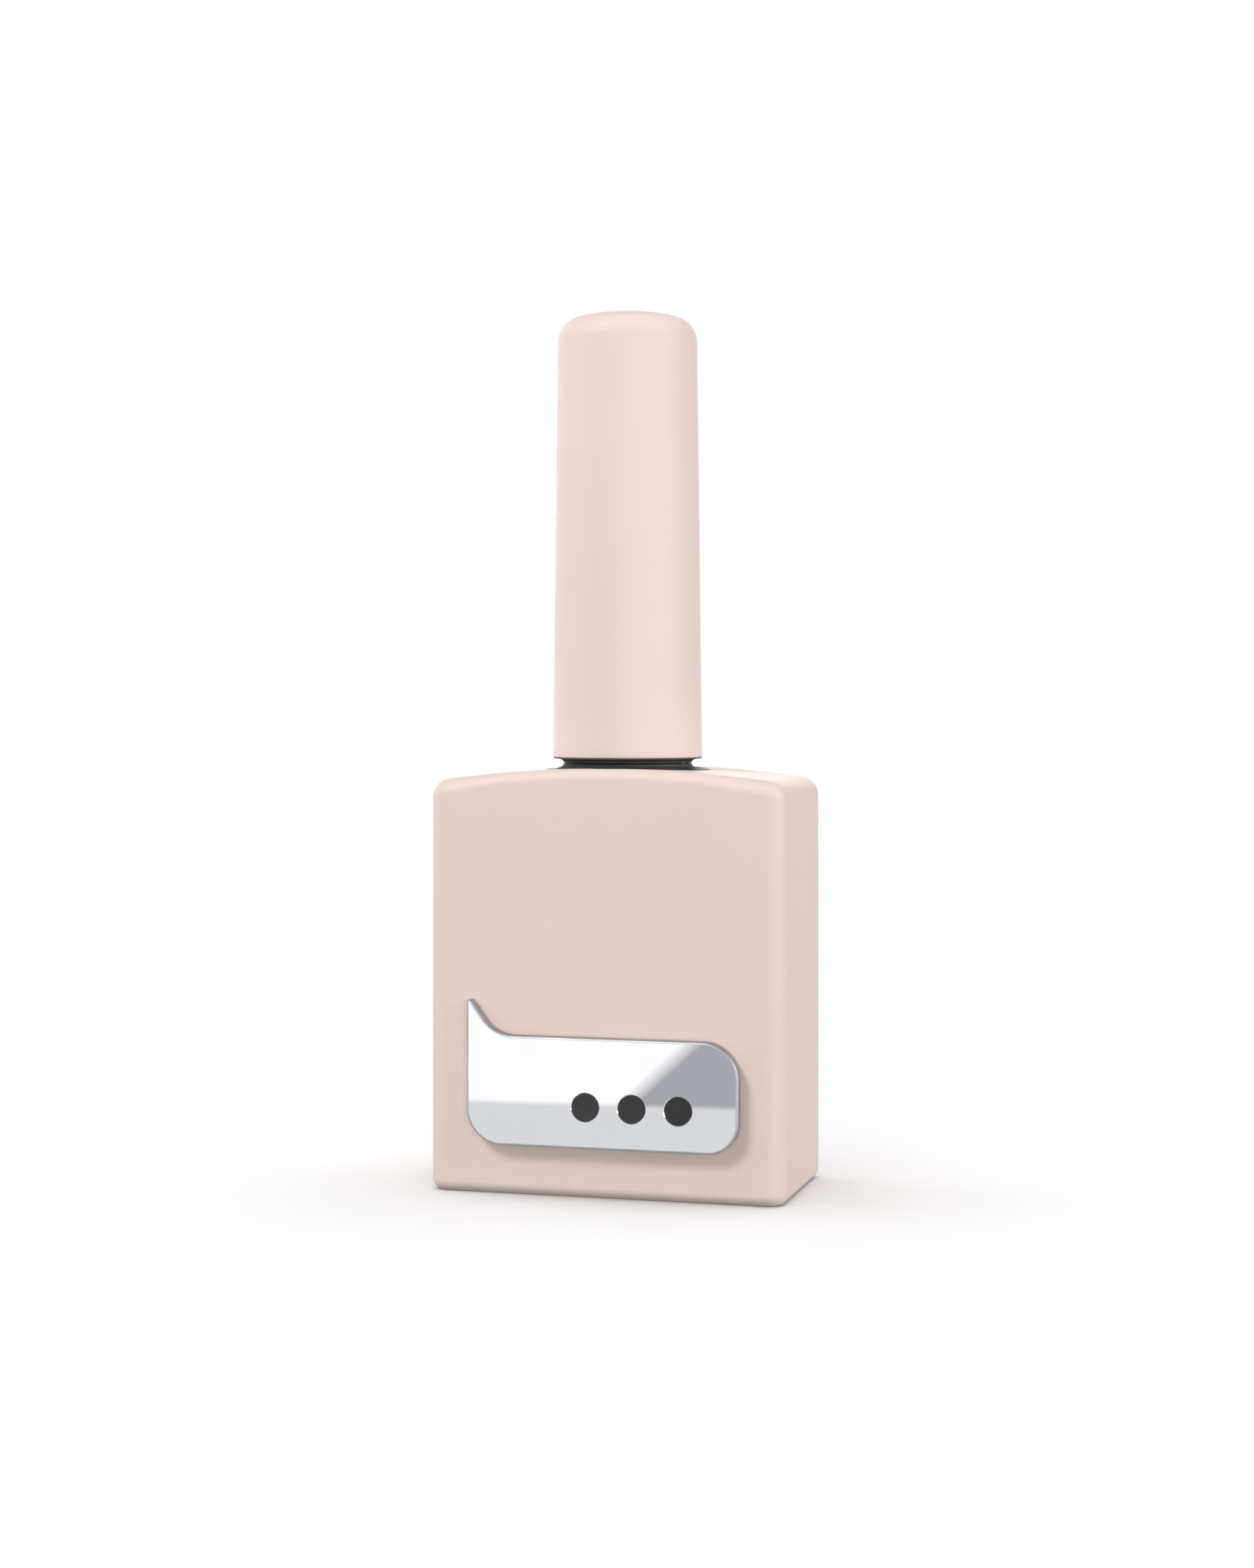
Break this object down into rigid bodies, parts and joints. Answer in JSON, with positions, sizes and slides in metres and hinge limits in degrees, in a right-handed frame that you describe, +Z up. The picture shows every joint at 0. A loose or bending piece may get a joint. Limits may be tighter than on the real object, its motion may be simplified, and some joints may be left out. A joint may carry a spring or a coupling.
{
  "type": "nail polish bottle",
  "caption": "Square lacquered bottle for nail polish with a raised mirror plate on the front, a long round screw-on cap and an applicator brush inside.",
  "frame": {"origin": "centre of the bottle's base, on the plane it stands on", "axes": "+Z up along the neck and cap; the badge on the front face looks towards -Y; +X is to the right seen from the front"},
  "size_m": [0.0364, 0.0201, 0.0887],
  "materials": {
    "bottle_lacquer": "opaque satin lacquer over black glass",
    "soft_touch_cap": "soft-touch matte coating",
    "black_plastic": "satin moulded plastic",
    "mirror_plate": "mirror polished",
    "black_enamel": "filled black enamel",
    "adhesive_film": "matt adhesive foam",
    "label_paper": "blank coated paper",
    "seal_foam": "closed-cell foam",
    "stem_plastic": "smooth moulded plastic",
    "bristle_nylon": "fine black nylon filaments",
    "anchor_brass": "drawn strip",
    "ball_steel": "polished steel"
  },
  "bodies": {
    "bottle": {"bottle": "bottle_lacquer", "neck_collar": "black_plastic", "badge_tape": "adhesive_film", "badge": "mirror_plate", "badge_inlay": "black_enamel", "base_label": "label_paper"},
    "seal": {"cap_seal": "seal_foam"},
    "brush": {"brush_stem": "stem_plastic", "brush_bristles": "bristle_nylon", "tuft_anchor": "anchor_brass"},
    "cap": {"inner_cap": "black_plastic", "overcap": "soft_touch_cap"},
    "ball_1": {"mixing_ball_1": "ball_steel"},
    "ball_2": {"mixing_ball_2": "ball_steel"}
  },
  "joints": [
    {"name": "cap_lift_off", "type": "slide", "parent": "bottle", "child": "seal", "axis": [0, 0, 1], "range_m": [0, 0.05]},
    {"name": "thread_lift", "type": "slide", "parent": "seal", "child": "brush", "axis": [0, 0, 1], "range_m": [0, 0.0043]},
    {"name": "cap_turn", "type": "hinge", "parent": "brush", "child": "cap", "pos_m": [0, 0, 0.05], "axis": [0, 0, 1], "range_deg": [0, 720]},
    {"name": "ball_1_roll", "type": "slide", "parent": "bottle", "child": "ball_1", "axis": [1, 0, 0], "range_m": [-0.003, 0.023]},
    {"name": "ball_2_roll", "type": "slide", "parent": "bottle", "child": "ball_2", "axis": [1, 0, 0], "range_m": [-0.022, 0.004]}
  ],
  "couplings": [
    {"joint": "thread_lift", "follows": "cap_turn", "m_per_rad": 0.00033693}
  ]
}
